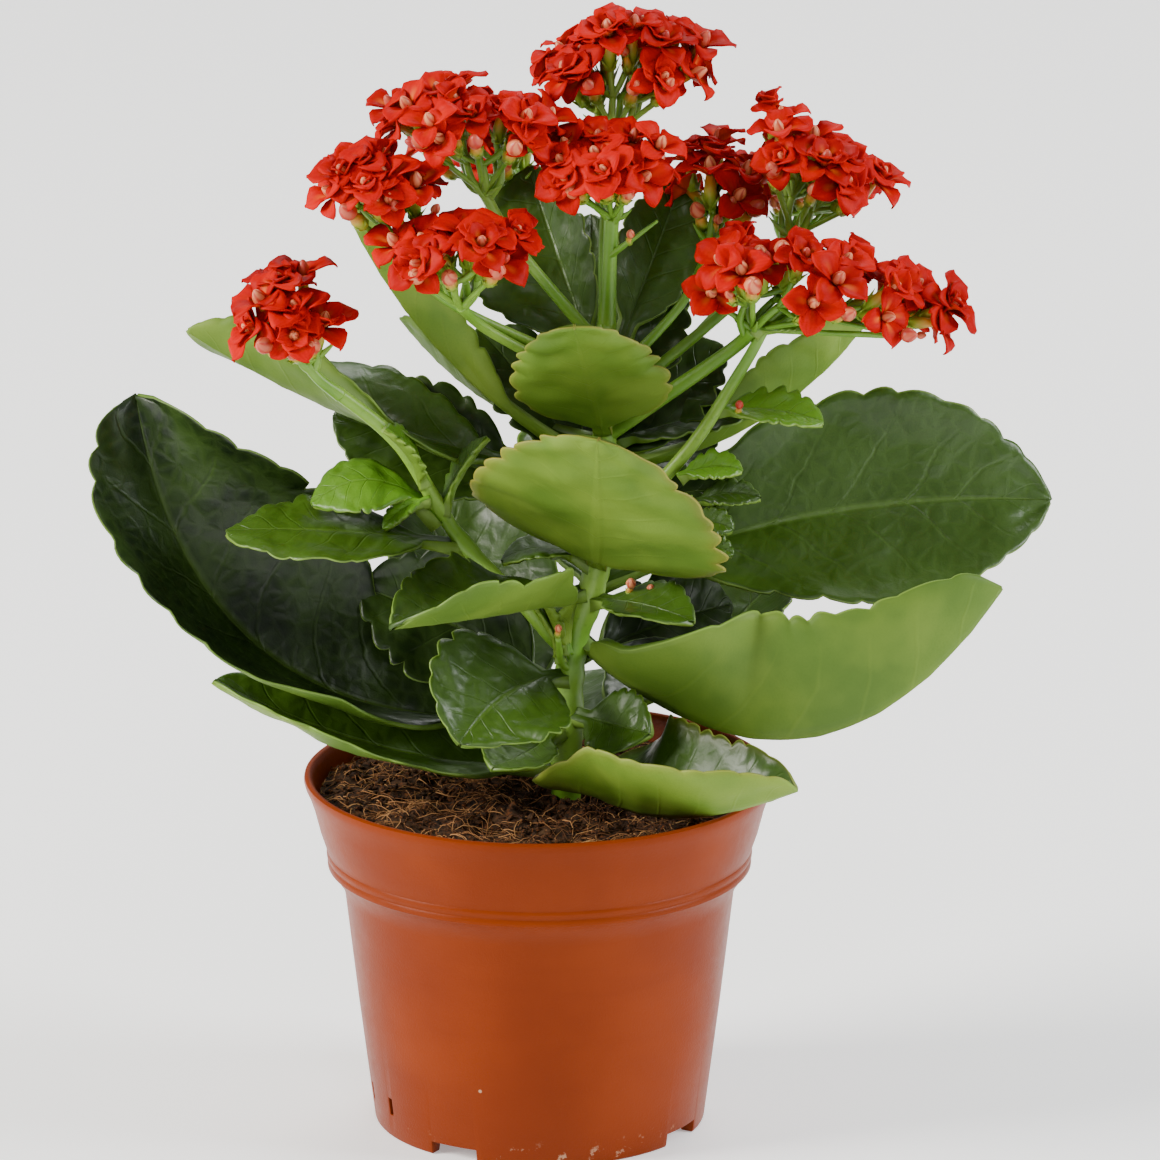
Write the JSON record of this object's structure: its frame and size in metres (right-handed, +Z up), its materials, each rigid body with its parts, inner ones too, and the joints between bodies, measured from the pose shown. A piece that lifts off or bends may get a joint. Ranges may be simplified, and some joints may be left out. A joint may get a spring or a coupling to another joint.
{
  "type": "potted kalanchoe",
  "caption": "Red-flowered kalanchoe with broad scalloped leaves, growing in a small orange plastic nursery pot of dark coir soil.",
  "frame": {"origin": "centre of the footprint's box, at the surface the pot stands on", "axes": "+Z up the plant, -Y out of the side that the picture shows, +X to the viewer's right"},
  "size_m": [0.2144, 0.1218, 0.25],
  "materials": {
    "pot": "thin moulded polypropylene, terracotta orange, slightly glossy with scuffs",
    "soil": "damp dark coir compost with orange-brown fibres",
    "stem": "smooth fleshy yellow-green stem",
    "leaf": "waxy dark green upper side, matte yellow-green underside, thin pale margin",
    "flower": "soft satin bright red petals with a pale salmon bud in the middle"
  },
  "bodies": {
    "root": {"pot": "pot", "soil": "soil", "main_stem": "stem", "left_stem": "stem", "leaf_low_left": "leaf", "leaf_soil_left": "leaf", "leaf_low_right": "leaf", "leaf_high_right": "leaf", "leaf_front": "leaf", "leaf_front_high": "leaf", "leaf_front_low": "leaf", "leaf_front_left": "leaf", "leaf_front_right": "leaf", "leaf_soil_front": "leaf", "leaf_mid_right": "leaf", "leaf_under_front": "leaf", "leaf_mid_left": "leaf", "leaf_twisted": "leaf", "leaf_upright_left": "leaf", "leaf_tall_left": "leaf", "leaf_behind_left": "leaf", "leaf_top_left": "leaf", "leaf_top_right": "leaf", "leaf_pale_right": "leaf", "leaf_behind_right": "leaf", "leaf_dark_left": "leaf", "leaf_left_long": "leaf", "leaf_left_bright": "leaf", "leaf_back_low_left": "leaf", "leaf_back_low_right": "leaf", "leaf_back_soil": "leaf", "leaf_back": "leaf", "leaf_back_high": "leaf", "head_left": "flower", "head_a": "flower", "head_b": "flower", "head_c": "flower", "head_d": "flower", "head_e": "flower", "head_f": "flower", "head_g": "flower", "head_h": "flower", "head_back_left": "flower", "head_back_right": "flower"}
  },
  "joints": []
}
